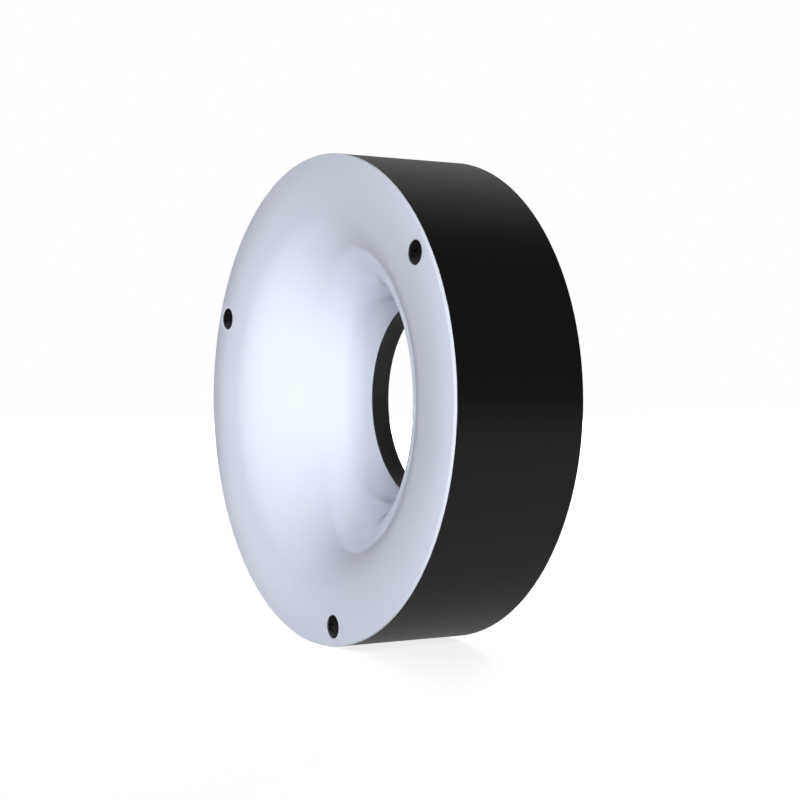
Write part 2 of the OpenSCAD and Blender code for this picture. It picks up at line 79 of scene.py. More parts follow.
# Whole light, in millimetres. Heights run from the rear face, at 0, to DEPTH
OUTER_R = in_mm(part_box("housing_ring")[1].x)
DEPTH = in_mm(-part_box("diffuser")[0].y)
WALL_T = 2.0
WALL_R = OUTER_R - WALL_T
PLATE_T = BORE["length_mm"]
SLIP = 0.1

# Diffuser: its lip covers the housing's wall, a flat flange bends into a shallow cone, and one
# cubic curve, pulled at its top and at the neck, leads on to the straight neck
DIFFUSER_T = 1.8
LIP = 0.7
CHAMFER = 0.3
CHAMFER_MID = 0.3 * CHAMFER
FLANGE_W = 6.4
FLANGE_R = OUTER_R - FLANGE_W
BEND_W = 4.1
CONE_W = 0.9
CONE_SLOPE = math.radians(4.6)
TOP_PULL = 9.3
NECK_PULL = 11.5
NECK_SETBACK = 0.3
NECK_R = BORE["r_mm"] + NECK_SETBACK
NECK_STRAIGHT = 1.8

# Case screws, front and rear: three of each, and the turn of each one's cross
SCREW_COUNT = 3
SCREW_TURN = math.radians(37)
SCREW_EDGE = 4.0
REAR_SCREW_SHIFT = 0.9
FRONT_SCREW_R = OUTER_R - SCREW_EDGE
REAR_SCREW_R = FRONT_SCREW_R - REAR_SCREW_SHIFT
SCREW_D = 2.5
SCREW_L = 8.0
FRONT_HEAD_D = 4.7
FRONT_HEAD_RISE = 0.6
FLUSH_HEAD_D = 4.7
PASS_GAP = 0.2
HOLE_R = SCREW_D / 2 + PASS_GAP
HOLE_PAST = 1
FRONT_TURNS = [math.radians(a) for a in (20, 71, 48)]
REAR_TURNS = [math.radians(a) for a in (33, 5, 62)]

# Case screws' fine forms: gap round the plain shank, its length, the tip, the head's edges and dome
SHANK_GAP = 0.03
PLAIN_SHANK, THREAD_END = 0.6, 0.2
TIP_R, TIP_BEVEL, TIP_BEVEL_H = 0.3, 0.35, 0.1
TIP_PLAIN = 0.4
RIM_LOW, RIM_HIGH, RIM_GAP = 0.08, 0.02, 0.03
BEVEL_W, BEVEL_H = 0.08, 0.06
DOME_ROWS = 16

# Cross recess, as shares of the head's diameter, and how small it is at its foot
RECESS_REACH = 0.55
RECESS_SLOT = 0.15
RECESS_DEEP = 0.28
RECESS_TAPER = 0.3

# Mounting holes, drawn at their core in the source, with their chamfered mouths
MOUNT_R = BOLTS["pcd_mm"] / 2
MOUNT_COUNT = BOLTS["count"]
MOUNT_CORE_R = BOLTS["hole_r_mm"]
MOUNT_DEEP = 5.0
MOUTH_CHAMFER = 0.35
MOUTH_GAP = 0.05
CORE_GAP = 0.01
TAP_FOOT, TAP_START = 0.1, 0.3
TAP_PAST = 0.2

# Power inlet, measured out from the axis along -X
INLET_Z = in_mm(-MOUNTS["power_inlet"]["pos_m"][1])
INLET_R = INLET["r_mm"]
INLET_OUT = INLET["length_mm"]
INLET_WALL = 0.95
INLET_AF = 11.0
SPOT_DEEP = 0.6
SPOT_X = OUTER_R - SPOT_DEEP
HEX_T = 2.5
PAD_T = 1.5
PAD_X = WALL_R - PAD_T
NUT_T = 2.5
SHELL_PAST_NUT = 1.1

# Inlet's fine forms: bevels, plain lengths between its threads, and its hexagon's chamfered crown
BARREL_BEVEL, TIP_ROUND, BORE_BEVEL = 0.4, 0.5, 0.15
FOOT_PLAIN, SPOT_PLAIN, HEX_PLAIN, END_PLAIN = 0.3, 0.2, 0.3, 0.35
BARREL_GAP, HEX_GAP = 0.05, 0.06
HALF_SIDE = math.radians(30)
CROWN_GAP = 0.1
CROWN_ANGLE = math.radians(30)
CROWN_STEPS = 6

# Threads, which only the scene has: mounting holes, case screws and inlet
THREAD_D, THREAD_PITCH, THREAD_DEEP = 3.0, 0.5, 0.27
SCREW_PITCH, SCREW_THREAD_DEEP = 0.45, 0.22
INLET_PITCH, INLET_THREAD_DEEP = 1.0, 0.55

# Form of every thread: rows in a turn, the share of its depth that is left at its ends, and its
# flanks, which rise by FLANK_SLOPE per pitch to CREST_TOP and are cut flat at 1
TURN_ROWS = 8
FADED_SHARE = 0.15
CREST_TOP, FLANK_SLOPE = 1.25, 2.5

# Sides and steps of the round forms, and how straight a face lies to count as flat
LATHE_SIDES = 360
SCREW_SIDES, TAP_SIDES, INLET_SIDES = 64, 48, 96
FRONT_STEPS, BACK_STEPS = (24, 120), (8, 60)
SHARP_ANGLE, BELL_SHARP_ANGLE = 30, 28
FLAT_FACE = 0.999

# Camera, as solved from the photograph's outlines
FOCAL_PX = 1750
PHOTO_PX = 800
SENSOR_MM = 36
CAMERA_AT = Vector((312.8, -202.4, 2.3)) * MM
CAMERA_YAW = math.radians(58.41)
CAMERA_PITCH = math.radians(-0.37)
CAMERA_CLIP = (0.01, 50)

# Studio: how bright the room, the floor and the backdrop are for the rays that each one meets,
# and from how near to how far, in metres, the floor goes over into the room
ROOM_LEVEL = 0.02
ROOM_GLOSS = 0.053
FLOOR_NEAR, FLOOR_FAR = 0.1, 0.9
BACKDROP_WAY = (-0.6, 0.45, 0.66)
BACKDROP_EDGE = (0.72, 1.0)
BACKDROP_LEVEL = 0.385
FLOOR_GLOSS = 0.335
FLOOR_GLOW = 0.78
FLOOR_HALF = 3.0
FLOOR_COLOUR = (0.9, 0.9, 0.9, 1)
FLOOR_ROUGH, FLOOR_SPECULAR = 0.9, 0.1

# Lamps, which all face the middle of the light: name, place and size in metres, and watts
CENTRE = (0, -0.015, 0)
LAMPS = (
    ("key", (2.60, -1.52, 0.0), (0.5, 0.4), 82.0),
    ("side_key", (2.82, -1.04, 0.0), (0.3, 0.3), 36.0),
    ("high_key", (2.60, -1.52, 1.2), (0.3, 0.3), 16.6),
    ("near_fill", (-0.10, -0.16, 0.0), (0.05, 0.05), 0.054),
    ("overhead", (0.1, 0.1, 1.2), (0.8, 0.8), 1.2),
    ("back_fill", (-1.6, 1.6, 0.9), (1.2, 1.2), 40.0),
)

# Softbox that gloss shows: name, place and size in metres, and strength
SOFTBOX = ("peak_box", (1.18, -0.91, 0.0), 0.9, 1.5)

# Noise: the band of its values that is used, and its detail in colour and in relief
NOISE_BAND = (0.3, 0.7)
CLOUD_DETAIL, RELIEF_DETAIL = 3.0, 2.0

# Finish of each slot of the record: darker and lighter colour, roughness from and to, grain per
# metre, relief as its depth in metres and its grain per metre, and how metallic it is
FINISHES = {
    "black_anodised": dict(dark=(0.0040, 0.0040, 0.0042), light=(0.0048, 0.0048, 0.0050),
                           rough=(0.30, 0.36), grain=900, relief=(0.000002, 9000)),
    "opal_acrylic": dict(dark=(0.74, 0.785, 0.905), light=(0.755, 0.80, 0.92),
                         rough=(0.02, 0.03), grain=60),
    "black_screw": dict(dark=(0.004, 0.004, 0.0043), light=(0.007, 0.007, 0.0075),
                        rough=(0.2, 0.3), grain=1800, relief=(0.000004, 8000)),
    "black_rubber": dict(dark=(0.016, 0.016, 0.016), light=(0.024, 0.024, 0.024),
                         rough=(0.75, 0.9), grain=1500, relief=(0.00001, 6000)),
    "thermal_silicone": dict(dark=(0.37, 0.45, 0.55), light=(0.42, 0.5, 0.6),
                             rough=(0.75, 0.88), grain=800, relief=(0.00002, 3000)),
    "white_board": dict(dark=(0.82, 0.85, 0.82), light=(0.87, 0.89, 0.87),
                        rough=(0.3, 0.4), grain=700, relief=(0.000005, 3500)),
    "zinc_steel": dict(dark=(0.6, 0.6, 0.61), light=(0.72, 0.72, 0.72),
                       rough=(0.25, 0.38), grain=1500, relief=(0.000004, 6000), metal=1.0),
    "led_package": dict(dark=(0.86, 0.8, 0.42), light=(0.93, 0.89, 0.6),
                        rough=(0.35, 0.5), grain=2500, relief=(0.00001, 9000)),
    "resistor_ceramic": dict(dark=(0.04, 0.04, 0.05), light=(0.06, 0.06, 0.07),
                             rough=(0.3, 0.45), grain=2500, relief=(0.000005, 6000)),
    "black_epoxy": dict(dark=(0.03, 0.03, 0.034), light=(0.045, 0.045, 0.05),
                        rough=(0.5, 0.62), grain=2500, relief=(0.000008, 9000)),
    "ivory_nylon": dict(dark=(0.8, 0.77, 0.68), light=(0.87, 0.84, 0.75),
                        rough=(0.45, 0.6), grain=900, relief=(0.000008, 5000)),
    "tinned_pin": dict(dark=(0.68, 0.67, 0.63), light=(0.78, 0.77, 0.73),
                       rough=(0.25, 0.4), grain=2500, metal=1.0),
    "red_insulation": dict(dark=(0.55, 0.025, 0.025), light=(0.63, 0.04, 0.035),
                           rough=(0.4, 0.5), grain=900, relief=(0.000008, 4000)),
    "black_insulation": dict(dark=(0.02, 0.02, 0.02), light=(0.03, 0.03, 0.03),
                             rough=(0.42, 0.55), grain=900, relief=(0.000008, 4000)),
    "white_film": dict(dark=(0.89, 0.89, 0.89), light=(0.93, 0.93, 0.93),
                       rough=(0.6, 0.75), grain=500, relief=(0.000005, 5000)),
    "nickel_brass": dict(dark=(0.6, 0.58, 0.54), light=(0.7, 0.68, 0.63),
                         rough=(0.2, 0.32), grain=1200, relief=(0.000003, 6000), metal=1.0),
    "black_nylon": dict(dark=(0.028, 0.028, 0.028), light=(0.04, 0.04, 0.04),
                        rough=(0.5, 0.62), grain=1500, relief=(0.000008, 6000)),
    "gold_contact": dict(dark=(0.8, 0.58, 0.22), light=(0.9, 0.68, 0.28),
                         rough=(0.18, 0.28), grain=2500, metal=1.0),
}

# Black of the turned bore, greyer than the outside, with fine turning marks
TURNED_BORE = dict(dark=(0.015, 0.015, 0.0155), light=(0.019, 0.019, 0.0195),
                   rough=(0.36, 0.44), grain=1500, relief=(0.000004, 900), stretch=(0.05, 12, 0.05))

scene = bpy.context.scene
scene.view_settings.view_transform = "Standard"


def add_camera():
    """Makes the camera that stands where the photograph was taken from."""
    forward = Vector((-math.sin(CAMERA_YAW) * math.cos(CAMERA_PITCH),
                      math.cos(CAMERA_YAW) * math.cos(CAMERA_PITCH),
                      math.sin(CAMERA_PITCH)))
    right = Vector((math.cos(CAMERA_YAW), math.sin(CAMERA_YAW), 0))
    up = right.cross(forward)
    data = bpy.data.cameras.new("photo_camera")
    data.sensor_width = SENSOR_MM
    data.lens = FOCAL_PX * SENSOR_MM / PHOTO_PX
    data.clip_start, data.clip_end = CAMERA_CLIP
    camera = bpy.data.objects.new("photo_camera", data)
    scene.collection.objects.link(camera)
    turn = Matrix((right, up, -forward)).transposed().to_4x4()
    camera.matrix_world = Matrix.Translation(CAMERA_AT) @ turn
    scene.camera = camera


def nodes_of(material):
    """Returns a fresh material's node tree, its links and its main shader."""
    material.use_nodes = True
    tree = material.node_tree
    return tree, tree.links, tree.nodes["Principled BSDF"]


def ray_is(tree, *kinds):
    """One for rays of the named kinds, as a socket."""
    path = tree.nodes.new("ShaderNodeLightPath")
    total = path.outputs[kinds[0]]
    for kind in kinds[1:]:
        add = tree.nodes.new("ShaderNodeMath")
        add.operation = "MAXIMUM"
        tree.links.new(total, add.inputs[0])
        tree.links.new(path.outputs[kind], add.inputs[1])
        total = add.outputs[0]
    return total


def mixed(tree, factor, first, second):
    """Mix of two shader sockets, as a socket."""
    mix = tree.nodes.new("ShaderNodeMixShader")
    tree.links.new(factor, mix.inputs[0])
    tree.links.new(first, mix.inputs[1])
    tree.links.new(second, mix.inputs[2])
    return mix.outputs[0]


def mapped(tree, value, low, high, start, end, kind="SMOOTHSTEP"):
    """Level that goes from start to end while a value goes from low to high, as a socket."""
    change = tree.nodes.new("ShaderNodeMapRange")
    change.interpolation_type = kind
    change.inputs["From Min"].default_value = low
    change.inputs["From Max"].default_value = high
    change.inputs["To Min"].default_value = start
    change.inputs["To Max"].default_value = end
    tree.links.new(value, change.inputs["Value"])
    return change.outputs["Result"]


def faded(tree, near, far, start, end):
    """Level that goes smoothly from start to end as the distance from the object's middle grows."""
    where = tree.nodes.new("ShaderNodeTexCoord")
    away = tree.nodes.new("ShaderNodeVectorMath")
    away.operation = "LENGTH"
    tree.links.new(where.outputs["Object"], away.inputs[0])
    return mapped(tree, away.outputs["Value"], near, far, start, end)


def add_world():
    """White for the camera, a pale backdrop behind the light for gloss, and dim elsewhere."""
    world = bpy.data.worlds.new("studio")
    scene.world = world
    world.use_nodes = True
    tree = world.node_tree
    tree.nodes.clear()
    shades = []
    for level in (ROOM_LEVEL, 1.0, 1.0):
        shade = tree.nodes.new("ShaderNodeBackground")
        shade.inputs["Color"].default_value = (level, level, level, 1)
        shades.append(shade)
    dim, backdrop, white = shades
    where = tree.nodes.new("ShaderNodeTexCoord")
    facing = tree.nodes.new("ShaderNodeVectorMath")
    facing.operation = "DOT_PRODUCT"
    facing.inputs[1].default_value = BACKDROP_WAY
    tree.links.new(where.outputs["Generated"], facing.inputs[0])
    fade = mapped(tree, facing.outputs["Value"], *BACKDROP_EDGE, ROOM_GLOSS, BACKDROP_LEVEL)
    tree.links.new(fade, backdrop.inputs["Strength"])
    gloss = ray_is(tree, "Is Glossy Ray", "Is Transmission Ray")
    light = mixed(tree, gloss, dim.outputs[0], backdrop.outputs[0])
    seen = mixed(tree, ray_is(tree, "Is Camera Ray"), light, white.outputs[0])
    out = tree.nodes.new("ShaderNodeOutputWorld")
    tree.links.new(seen, out.inputs[0])


def add_lamp(name, at, size, watts):
    """Rectangular area lamp that faces the light. Gloss shows the softbox, not the lamp."""
    data = bpy.data.lights.new(name, "AREA")
    data.shape = "RECTANGLE"
    data.size, data.size_y = size
    data.energy = watts
    lamp = bpy.data.objects.new(name, data)
    scene.collection.objects.link(lamp)
    lamp.visible_glossy = False
    lamp.visible_camera = False
    face_centre(lamp, at)


def face_centre(thing, at):
    """Puts a lamp or panel at a place, turned to the middle of the light."""
    thing.location = at
    thing.rotation_euler = (Vector(CENTRE) - Vector(at)).to_track_quat("-Z", "Y").to_euler()


def add_square(name, half, z):
    """Flat square with its sides along X and Y, for the stage."""
    mesh = bpy.data.meshes.new(name)
    corners = [(-half, -half, z), (half, -half, z), (half, half, z), (-half, half, z)]
    mesh.from_pydata(corners, [], [(0, 1, 2, 3)])
    square = bpy.data.objects.new(name, mesh)
    scene.collection.objects.link(square)
    return square


def add_floor():
    """Pale floor under the light: white to the camera but for the shadow, and clear from below."""
    floor = add_square("floor", FLOOR_HALF, cad_low.z)
    material = bpy.data.materials.new("floor_white")
    tree, links, shader = nodes_of(material)
    shader.inputs["Base Color"].default_value = FLOOR_COLOUR
    shader.inputs["Roughness"].default_value = FLOOR_ROUGH
    shader.inputs["Specular IOR Level"].default_value = FLOOR_SPECULAR
    pale = tree.nodes.new("ShaderNodeEmission")
    links.new(faded(tree, FLOOR_NEAR, FLOOR_FAR, FLOOR_GLOSS, ROOM_LEVEL), pale.inputs["Strength"])
    gloss = ray_is(tree, "Is Glossy Ray", "Is Transmission Ray")
    lit = mixed(tree, gloss, shader.outputs[0], pale.outputs[0])
    glow = tree.nodes.new("ShaderNodeEmission")
    links.new(faded(tree, FLOOR_NEAR, FLOOR_FAR, FLOOR_GLOW, 1), glow.inputs["Strength"])
    white = tree.nodes.new("ShaderNodeAddShader")
    links.new(glow.outputs[0], white.inputs[0])
    links.new(shader.outputs[0], white.inputs[1])
    seen = mixed(tree, ray_is(tree, "Is Camera Ray"), lit, white.outputs[0])
    clear = tree.nodes.new("ShaderNodeBsdfTransparent")
    side = tree.nodes.new("ShaderNodeNewGeometry")
    whole = mixed(tree, side.outputs["Backfacing"], seen, clear.outputs[0])
    links.new(whole, tree.nodes["Material Output"].inputs["Surface"])
    floor.data.materials.append(material)


def add_softbox(name, at, size, strength):
    """Glowing panel with a soft edge, which only gloss shows."""
    panel = add_square(name, size / 2, 0)
    face_centre(panel, at)
    material = bpy.data.materials.new(name)
    material.use_nodes = True
    tree, links = material.node_tree, material.node_tree.links
    tree.nodes.clear()
    fade = faded(tree, 0, size / 2, strength, 0)
    glow = tree.nodes.new("ShaderNodeEmission")
    clear = tree.nodes.new("ShaderNodeBsdfTransparent")
    add = tree.nodes.new("ShaderNodeAddShader")
    links.new(fade, glow.inputs["Strength"])
    links.new(glow.outputs[0], add.inputs[0])
    links.new(clear.outputs[0], add.inputs[1])
    out = tree.nodes.new("ShaderNodeOutputMaterial")
    links.new(add.outputs[0], out.inputs["Surface"])
    panel.data.materials.append(material)
    panel.visible_camera = False
    panel.visible_diffuse = False
    panel.visible_shadow = False
    panel.visible_transmission = False


def noise(tree, grain, detail, stretch):
    """Noise over the object's own coordinates, as a socket. grain is per metre."""
    where = tree.nodes.new("ShaderNodeTexCoord")
    mapping = tree.nodes.new("ShaderNodeMapping")
    mapping.inputs["Scale"].default_value = stretch
    texture = tree.nodes.new("ShaderNodeTexNoise")
    texture.inputs["Scale"].default_value = grain
    texture.inputs["Detail"].default_value = detail
    tree.links.new(where.outputs["Object"], mapping.inputs["Vector"])
    tree.links.new(mapping.outputs["Vector"], texture.inputs["Vector"])
    return texture.outputs["Fac"]


def spread(tree, cloud, start, end):
    """Level that goes evenly from start to end over the noise's middle band, as a socket."""
    return mapped(tree, cloud, *NOISE_BAND, start, end, "LINEAR")


def surface(name, dark, light, rough, grain, relief=None, metal=0.0, stretch=(1, 1, 1)):
    """Material with its colour, gloss and fine relief from noise, as FINISHES describes it."""
    material = bpy.data.materials.new(name)
    tree, links, shader = nodes_of(material)
    shader.inputs["Metallic"].default_value = metal
    cloud = noise(tree, grain, CLOUD_DETAIL, stretch)
    mix = tree.nodes.new("ShaderNodeMix")
    mix.data_type = "RGBA"
    mix.inputs["A"].default_value = (*dark, 1)
    mix.inputs["B"].default_value = (*light, 1)
    links.new(spread(tree, cloud, 0, 1), mix.inputs["Factor"])
    links.new(mix.outputs["Result"], shader.inputs["Base Color"])
    links.new(spread(tree, cloud, *rough), shader.inputs["Roughness"])
    if relief:
        depth, relief_grain = relief
        bump = tree.nodes.new("ShaderNodeBump")
        bump.inputs["Strength"].default_value = 1.0
        bump.inputs["Distance"].default_value = depth
        links.new(noise(tree, relief_grain, RELIEF_DETAIL, stretch), bump.inputs["Height"])
        links.new(bump.outputs["Normal"], shader.inputs["Normal"])
    return material


def make_materials():
    """Every slot of the record, with its procedural material."""
    return {name: surface(name, **finish) for name, finish in FINISHES.items()}


def dress_nodes(materials):
    """Gives every carried-over node the material of its slot, with smooth round faces."""
    for row in frame["record"]["subparts"]:
        node = NODES[row["node"]]
        node.data.materials.clear()
        node.data.materials.append(materials[row["material_slot"]])
        node.data.shade_smooth()
        node.data.set_sharp_from_angle(angle=math.radians(SHARP_ANGLE))


def lathe(name, profile, turns):
    """Closed ring turned from (radius, height) points, height measured from the rear face."""
    mesh = bpy.data.meshes.new(name)
    count = len(profile)
    points, faces = [], []
    for j in range(turns):
        angle = 2 * math.pi * j / turns
        for r, h in profile:
            points.append((r * math.cos(angle) * MM, -h * MM, r * math.sin(angle) * MM))
    for j in range(turns):
        k = (j + 1) % turns
        for i in range(count):
            n = (i + 1) % count
            faces.append((j * count + i, k * count + i, k * count + n, j * count + n))
    mesh.from_pydata(points, [], faces)
    return placed(name, mesh)


def placed(name, mesh):
    """New piece from a closed mesh, with its faces turned outwards."""
    form = bmesh.new()
    form.from_mesh(mesh)
    bmesh.ops.recalc_face_normals(form, faces=form.faces)
    form.to_mesh(mesh)
    form.free()
    piece = bpy.data.objects.new(name, mesh)
    scene.collection.objects.link(piece)
    return piece


def cut(piece, *cutters):
    """Takes the closed cutters out of a piece, for good, and removes the cutters."""
    for cutter in cutters:
        change = piece.modifiers.new("cut", "BOOLEAN")
        change.operation = "DIFFERENCE"
        change.solver = "EXACT"
        change.object = cutter
    bpy.context.view_layer.update()
    graph = bpy.context.evaluated_depsgraph_get()
    mesh = bpy.data.meshes.new_from_object(piece.evaluated_get(graph))
    piece.modifiers.clear()
    piece.data = mesh
    for cutter in cutters:
        bpy.data.objects.remove(cutter)


def finished(piece, materials, slot, node, angle=SHARP_ANGLE):
    """Gives a piece its finish, hangs it on the root body and hides the CAD node that it stands for.
    """
    piece.data.materials.clear()
    piece.data.materials.append(materials[slot])
    piece.data.shade_smooth()
    piece.data.set_sharp_from_angle(angle=math.radians(angle))
    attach(piece, "root")
    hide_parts(node)


def grid_ring(name, rows, sides, close=False):
    """Mesh from rows of points round the Z axis. close joins its last row to the first one, and
    otherwise flat caps end it."""
    mesh = bpy.data.meshes.new(name)
    points = [[c * MM for c in point] for row in rows for point in row]
    faces = []
    last = len(rows) if close else len(rows) - 1
    for i in range(last):
        n = (i + 1) % len(rows)
        for j in range(sides):
            k = (j + 1) % sides
            faces.append((i * sides + j, i * sides + k, n * sides + k, n * sides + j))
    if not close:
        faces.append(tuple(range(sides)))
        faces.append(tuple(reversed(range((len(rows) - 1) * sides, len(rows) * sides))))
    mesh.from_pydata(points, [], faces)
    return mesh


def circle(r, z, sides):
    """Row of points at one height. r is a radius, or a function that gives it for an angle."""
    radius = r if callable(r) else (lambda angle: r)
    turns = [2 * math.pi * j / sides for j in range(sides)]
    return [(radius(a) * math.cos(a), radius(a) * math.sin(a), z) for a in turns]


def circles(sides, *rows):
    """Rows of points from pairs of a radius and a height."""
    return [circle(r, z, sides) for r, z in rows]


def behind(point, way, back):
    """Point moved back from the face, square to the way in which the face runs on."""
    length = math.hypot(*way)
    return (point[0] - way[1] / length * back, point[1] + way[0] / length * back)


def bell(back, bend_steps, curve_steps):
    """Points of the bell from the flange to the neck, set back behind its face."""
    slope = math.tan(CONE_SLOPE)
    away = Vector((-math.cos(CONE_SLOPE), -math.sin(CONE_SLOPE)))
    bent = Vector((FLANGE_R - BEND_W, DEPTH - slope * BEND_W / 2))
    start = bent + away * CONE_W / math.cos(CONE_SLOPE)
    end = Vector((NECK_R, PLATE_T + NECK_STRAIGHT))
    p = [start, start + away * TOP_PULL, end + Vector((0, NECK_PULL)), end]
    points = []
    for i in range(bend_steps + 1):
        x = BEND_W * i / bend_steps
        place = (FLANGE_R - x, DEPTH - slope * x * x / (2 * BEND_W))
        points.append(behind(place, (-1, -slope * x / BEND_W), back))
    for i in range(curve_steps + 1):
        t = i / curve_steps
        u = 1 - t
        place = u ** 3 * p[0] + 3 * u * u * t * p[1] + 3 * u * t * t * p[2] + t ** 3 * p[3]
        way = u * u * (p[1] - p[0]) + 2 * u * t * (p[2] - p[1]) + t * t * (p[3] - p[2])
        points.append(behind(place, way, back))
    return points


def make_diffuser(materials):
    """Opal bell in one smooth turned piece, with the source's profile."""
    rim = DEPTH - LIP
    profile = [(OUTER_R, rim), (OUTER_R, DEPTH - CHAMFER),
               (OUTER_R - CHAMFER_MID, DEPTH - CHAMFER_MID), (OUTER_R - CHAMFER, DEPTH)]
    profile += bell(0, *FRONT_STEPS) + [(NECK_R, PLATE_T), (NECK_R + DIFFUSER_T, PLATE_T)]
    profile += reversed(bell(DIFFUSER_T, *BACK_STEPS))
    profile += [(WALL_R - SLIP, DEPTH - DIFFUSER_T), (WALL_R - SLIP, rim)]
    piece = lathe("opal_bell", profile, LATHE_SIDES)
    cone = (FRONT_HEAD_D - SCREW_D) / 2
    mouth = FRONT_HEAD_D / 2 + SLIP
    foot = -cone + HOLE_R - SCREW_D / 2 - SLIP
    holes = []
    for k in range(SCREW_COUNT):
        rows = circles(SCREW_SIDES, (HOLE_R, -DIFFUSER_T - HOLE_PAST), (HOLE_R, foot),
                       (mouth, 0), (mouth, HOLE_PAST))
        mesh = grid_ring("hole", rows, SCREW_SIDES)
        mesh.transform(at_front(k))
        holes.append(placed("hole", mesh))
    cut(piece, *holes)
    finished(piece, materials, "opal_acrylic", "diffuser", BELL_SHARP_ANGLE)


def on_face(radius, angle, height, turn):
    """Place on a face, at an angle on a pitch circle, with the face at Z 0 and Z running out of it."""
    spot = Vector((radius * math.cos(angle), -height, radius * math.sin(angle))) * MM
    return Matrix.Translation(spot) @ Matrix.Rotation(turn, 4, "X")


def at_front(k):
    """Place of front screw k on the flange's face."""
    return on_face(FRONT_SCREW_R, SCREW_TURN + 2 * math.pi * k / SCREW_COUNT, DEPTH, QUARTER)


def at_rear(k):
    """Place of rear screw k on the rear face."""
    return on_face(REAR_SCREW_R, SCREW_TURN + 2 * math.pi * k / SCREW_COUNT, 0, -QUARTER)


def cross_cutter(head_d, top, turn, place):
    """Cross recess as a tapered prism, whose leaning walls run on past the head's top."""
    reach, slot = head_d * RECESS_REACH / 2, head_d * RECESS_SLOT / 2
    deep = head_d * RECESS_DEEP
    rows = []
    for level, share in ((top - deep, RECESS_TAPER), (top + deep / 2, 1 + (1 - RECESS_TAPER) / 2)):
        a, b = reach * share, slot * (0.5 + share / 2)
        outline = [(a, -b), (a, b), (b, b), (b, a), (-b, a), (-b, b),
                   (-a, b), (-a, -b), (-b, -b), (-b, -a), (b, -a), (b, -b)]
        rows.append([(x, y, level) for x, y in outline])
    mesh = grid_ring("recess", rows, len(rows[0]))
    mesh.transform(place @ Matrix.Rotation(turn, 4, "Z"))
    return placed("recess", mesh)


def make_front_screws(materials):
    """Black countersunk screws with domed heads and a tapered cross recess."""
    head_r = FRONT_HEAD_D / 2
    dome_r = (head_r ** 2 + FRONT_HEAD_RISE ** 2) / (2 * FRONT_HEAD_RISE)
    rim_turn = math.asin((head_r - RIM_GAP) / dome_r)
    rows = screw_shank(FRONT_HEAD_D)
    rows += circles(SCREW_SIDES, (head_r, -RIM_LOW), (head_r, -RIM_HIGH))
    for i in range(DOME_ROWS):
        turn = rim_turn * (1 - i / DOME_ROWS)
        height = FRONT_HEAD_RISE - dome_r * (1 - math.cos(turn))
        rows.append(circle(dome_r * math.sin(turn), height, SCREW_SIDES))
    for k in range(SCREW_COUNT):
        piece = add_screw("front_screw_%d" % (k + 1), rows, at_front(k))
        cut(piece, cross_cutter(FRONT_HEAD_D, FRONT_HEAD_RISE, FRONT_TURNS[k], at_front(k)))
        finished(piece, materials, "black_screw", "diffuser_screws")


def make_rear_screws(materials):
    """Black flush screws in the mounting face, with a fine bevel and a tapered cross recess."""
    head_r = FLUSH_HEAD_D / 2
    rows = circles(SCREW_SIDES, (head_r - BEVEL_W, 0), (head_r, -BEVEL_H))
    rows += reversed(screw_shank(FLUSH_HEAD_D))
    for k in range(SCREW_COUNT):
        piece = add_screw("rear_screw_%d" % (k + 1), rows, at_rear(k))
        cut(piece, cross_cutter(FLUSH_HEAD_D, 0, REAR_TURNS[k], at_rear(k)))
        finished(piece, materials, "black_screw", "rear_plate_screws")


def add_screw(name, rows, place):
    """New case screw from its rows, at its place."""
    mesh = grid_ring(name, rows, SCREW_SIDES)
    mesh.transform(place)
    return placed(name, mesh)


def screw_shank(head_d):
    """Rows of a case screw from its tip up to the foot of its countersunk head."""
    cone = (head_d - SCREW_D) / 2
    shank = SCREW_D / 2 - SHANK_GAP
    rows = circles(SCREW_SIDES, (TIP_R, -SCREW_L), (SCREW_D / 2 - TIP_BEVEL, -SCREW_L + TIP_BEVEL_H))
    rows += thread_rows(-SCREW_L + TIP_PLAIN, -cone - PLAIN_SHANK - THREAD_END, SCREW_D / 2,
                        SCREW_THREAD_DEEP, SCREW_PITCH, SCREW_SIDES)
    return rows + circles(SCREW_SIDES, (shank, -cone - PLAIN_SHANK), (shank, -cone))


def thread_rows(low, high, outer_r, deep, pitch, sides):
    """Rows of a thread from height low to high, which fades out over one turn at both ends."""
    steps = round((high - low) / pitch * TURN_ROWS)
    rows = []
    for i in range(steps + 1):
        z = low + (high - low) * i / steps
        fade = min(1, (z - low) / pitch + FADED_SHARE, (high - z) / pitch + FADED_SHARE)
        row = []
        for j in range(sides):
            a = 2 * math.pi * j / sides
            phase = (z / pitch - a / (2 * math.pi)) % 1
            wave = min(1, max(0, CREST_TOP - FLANK_SLOPE * abs(phase - 0.5)))
            r = outer_r - deep * (1 - wave) * fade
            row.append((r * math.cos(a), r * math.sin(a), z))
        rows.append(row)
    return rows


